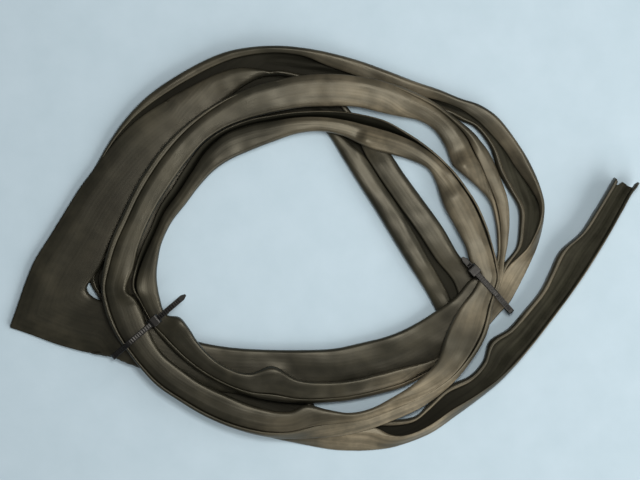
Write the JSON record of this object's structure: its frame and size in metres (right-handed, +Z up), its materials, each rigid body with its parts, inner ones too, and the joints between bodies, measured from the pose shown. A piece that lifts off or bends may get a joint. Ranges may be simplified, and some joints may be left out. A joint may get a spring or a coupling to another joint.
{
  "type": "bicycle inner tube",
  "caption": "Thin rubber inner tube, slit lengthwise, wound in flat laps with one loose tail and bound by nylon cable ties",
  "frame": {"origin": "middle of the coil's footprint, on the surface that it lies on", "axes": "+Z up, +X along the coil's long side towards the loose tail's end"},
  "size_m": [0.284, 0.183, 0.014],
  "materials": {
    "rubber": "chalky matt",
    "nylon": "satin"
  },
  "bodies": {
    "root": {"tube_outer_lap_right": "rubber", "tube_outer_lap_top": "rubber", "tube_outer_lap_left": "rubber", "tube_corner": "rubber", "tube_lower_band_left": "rubber", "tube_lower_band_right": "rubber", "tube_middle_lap_right": "rubber", "tube_middle_lap_top": "rubber", "tube_middle_lap_left": "rubber", "tube_middle_lap_bottom_left": "rubber", "tube_middle_lap_bottom_right": "rubber", "tube_inner_lap_right": "rubber", "tube_inner_lap_top": "rubber", "tube_inner_lap_left": "rubber", "tube_inner_lap_bottom": "rubber", "tube_hidden_fold": "rubber", "tube_chord": "rubber", "tube_under_lap_top": "rubber", "tube_under_lap_left": "rubber", "tube_under_lap_bottom": "rubber", "tube_tail_base": "rubber", "tube_tail_end": "rubber", "left_tie_head": "nylon", "left_tie_band": "nylon", "right_tie_head": "nylon", "right_tie_band": "nylon"},
    "left_tie_tail": {"left_tie_tail": "nylon"},
    "left_tie_pawl": {"left_tie_pawl": "nylon"},
    "right_tie_tail": {"right_tie_tail": "nylon"},
    "right_tie_pawl": {"right_tie_pawl": "nylon"}
  },
  "joints": [
    {"name": "left_tie_tail_slide", "type": "slide", "parent": "root", "child": "left_tie_tail", "axis": [0.7604, 0.6494, 0], "range_m": [0, 0.002]},
    {"name": "left_tie_pawl_hinge", "type": "hinge", "parent": "root", "child": "left_tie_pawl", "pos_m": [-0.07597, -0.03319, 0.0124], "axis": [0.6494, -0.7604, 0], "range_deg": [0, 9], "stiffness_Nm_per_rad": 0.002},
    {"name": "right_tie_tail_slide", "type": "slide", "parent": "root", "child": "right_tie_tail", "axis": [-0.6769, 0.7361, 0], "range_m": [0, 0.002]},
    {"name": "right_tie_pawl_hinge", "type": "hinge", "parent": "root", "child": "right_tie_pawl", "pos_m": [0.06902, -0.01067, 0.0124], "axis": [0.7361, 0.6769, 0], "range_deg": [0, 9], "stiffness_Nm_per_rad": 0.002}
  ]
}
